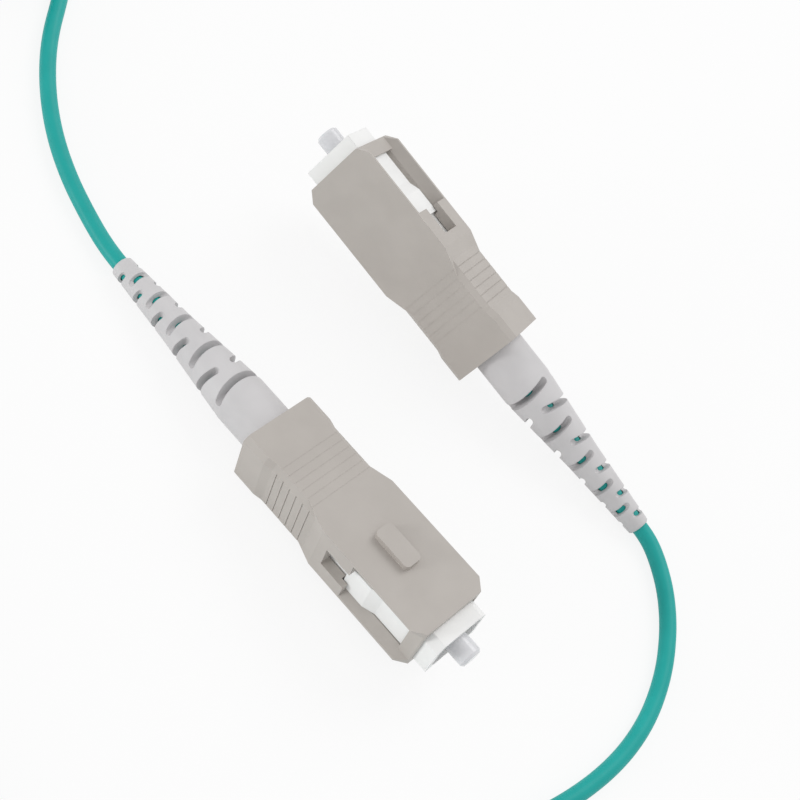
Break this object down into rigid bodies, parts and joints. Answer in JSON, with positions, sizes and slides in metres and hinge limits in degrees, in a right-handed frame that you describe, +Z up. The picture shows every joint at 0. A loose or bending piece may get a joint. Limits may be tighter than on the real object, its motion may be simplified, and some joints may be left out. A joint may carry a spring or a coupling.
{
  "type": "fibre optic patch cord",
  "caption": "Simplex fibre patch cord: slim aqua cable between square push-pull plugs with beige sliding grips, sprung ferrules and slotted pale strain-relief boots.",
  "frame": {"origin": "centre of the footprint of the two plugs, on the table they lie on", "axes": "+Z up from the table; the keyed-up plug points to +X and -Y, and the other one back to -X and +Y"},
  "size_m": [0.0938, 0.1253, 0.0147],
  "materials": {
    "grip_plastic": "satin beige",
    "frame_plastic": "satin white",
    "ferrule_ceramic": "polished ceramic",
    "flange_metal": "plated",
    "spring_steel": "bright wire",
    "stop_ring_metal": "nickel plated",
    "yarn": "fibrous",
    "crimp_metal": "nickel plated",
    "boot_rubber": "satin off-white",
    "cable_jacket": "satin aqua",
    "fibre_buffer": "satin",
    "tie_fabric": "woven"
  },
  "bodies": {
    "cord": {"plug_frame_a": "frame_plastic", "ferrule_spring_a": "spring_steel", "stop_ring_a": "stop_ring_metal", "strength_yarn_a": "yarn", "crimp_sleeve_a": "crimp_metal", "boot_a": "boot_rubber", "jacket_end_a": "cable_jacket", "plug_frame_b": "frame_plastic", "ferrule_spring_b": "spring_steel", "stop_ring_b": "stop_ring_metal", "strength_yarn_b": "yarn", "crimp_sleeve_b": "crimp_metal", "boot_b": "boot_rubber", "jacket_end_b": "cable_jacket", "cable_lead_a": "cable_jacket", "cable_coil": "cable_jacket", "cable_lead_b": "cable_jacket", "coil_tie": "tie_fabric"},
    "grip_a": {"grip_a": "grip_plastic"},
    "ferrule_a": {"ferrule_a": "ferrule_ceramic", "ferrule_flange_a": "flange_metal", "buffered_fibre_a": "fibre_buffer"},
    "grip_b": {"grip_b": "grip_plastic"},
    "ferrule_b": {"ferrule_b": "ferrule_ceramic", "ferrule_flange_b": "flange_metal", "buffered_fibre_b": "fibre_buffer"}
  },
  "joints": [
    {"name": "grip_slide_a", "type": "slide", "parent": "cord", "child": "grip_a", "axis": [0.6395, -0.7621, 0.1017], "range_m": [-0.002, 0]},
    {"name": "ferrule_slide_a", "type": "slide", "parent": "cord", "child": "ferrule_a", "axis": [0.6395, -0.7621, 0.1017], "range_m": [-0.0015, 0], "stiffness_N_per_m": 2000, "deforming": ["ferrule_spring_a"]},
    {"name": "grip_slide_b", "type": "slide", "parent": "cord", "child": "grip_b", "axis": [-0.689, 0.706, 0.1638], "range_m": [-0.002, 0]},
    {"name": "ferrule_slide_b", "type": "slide", "parent": "cord", "child": "ferrule_b", "axis": [-0.689, 0.706, 0.1638], "range_m": [-0.0015, 0], "stiffness_N_per_m": 2000, "deforming": ["ferrule_spring_b"]}
  ]
}
